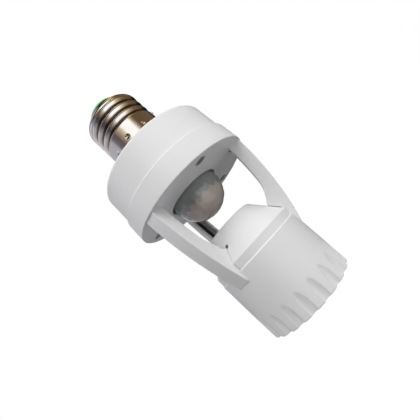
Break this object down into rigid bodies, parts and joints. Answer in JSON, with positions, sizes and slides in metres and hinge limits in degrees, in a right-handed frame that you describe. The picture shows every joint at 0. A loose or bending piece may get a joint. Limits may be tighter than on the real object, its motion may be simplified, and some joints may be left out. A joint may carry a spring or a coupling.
{
  "type": "motion sensor lamp holder",
  "caption": "White lamp holder adapter with a screw cap, a round sensor housing with a milky dome lens, slender struts and a fluted lamp cup below.",
  "frame": {"origin": "centre of the lamp cup's mouth, in the plane of its rim", "axes": "+Z along the holder's axis to the tip of the screw cap, +X through one strut"},
  "size_m": [0.0562, 0.0562, 0.115],
  "materials": {
    "white_plastic": "moulded, half-gloss",
    "nickel_plate": "nickel plate, bright",
    "zinc_steel": "zinc plated",
    "brass": "stamped, unplated",
    "green_insulator": "glossy",
    "milky_lens": "milky, half-gloss",
    "natural_plastic": "moulded",
    "filter_window": "polished",
    "board_laminate": "solder mask",
    "dark_phenolic": "moulded",
    "white_wire_cover": "extruded",
    "black_wire_cover": "extruded",
    "relay_case": "moulded",
    "film_case": "dipped resin",
    "black_epoxy": "moulded",
    "capacitor_sleeve": "shrunk sleeve",
    "photocell_disc": "clear resin over ceramic"
  },
  "bodies": {
    "root": {"lamp_cup": "white_plastic", "strut_frame": "white_plastic", "upper_housing": "white_plastic", "housing_screw_1": "zinc_steel", "housing_screw_2": "zinc_steel", "housing_screw_3": "zinc_steel", "board_screw_1": "zinc_steel", "board_screw_2": "zinc_steel", "screw_shell": "nickel_plate", "cap_insulator": "green_insulator", "tip_contact": "brass", "lens_dome": "milky_lens", "lens_retainer": "natural_plastic", "pir_sensor": "zinc_steel", "pir_window": "filter_window", "circuit_board": "board_laminate", "relay": "relay_case", "film_capacitor": "film_case", "control_chip": "black_epoxy", "rectifier": "black_epoxy", "smoothing_capacitor": "capacitor_sleeve", "photocell": "photocell_disc", "socket_insulator": "dark_phenolic", "socket_shell": "nickel_plate", "socket_contact": "brass", "contact_rivet": "brass", "shell_rivet": "brass", "lead_neutral": "white_wire_cover", "lead_live": "black_wire_cover", "cap_lead_tip": "black_wire_cover", "cap_lead_shell": "white_wire_cover"}
  },
  "joints": []
}
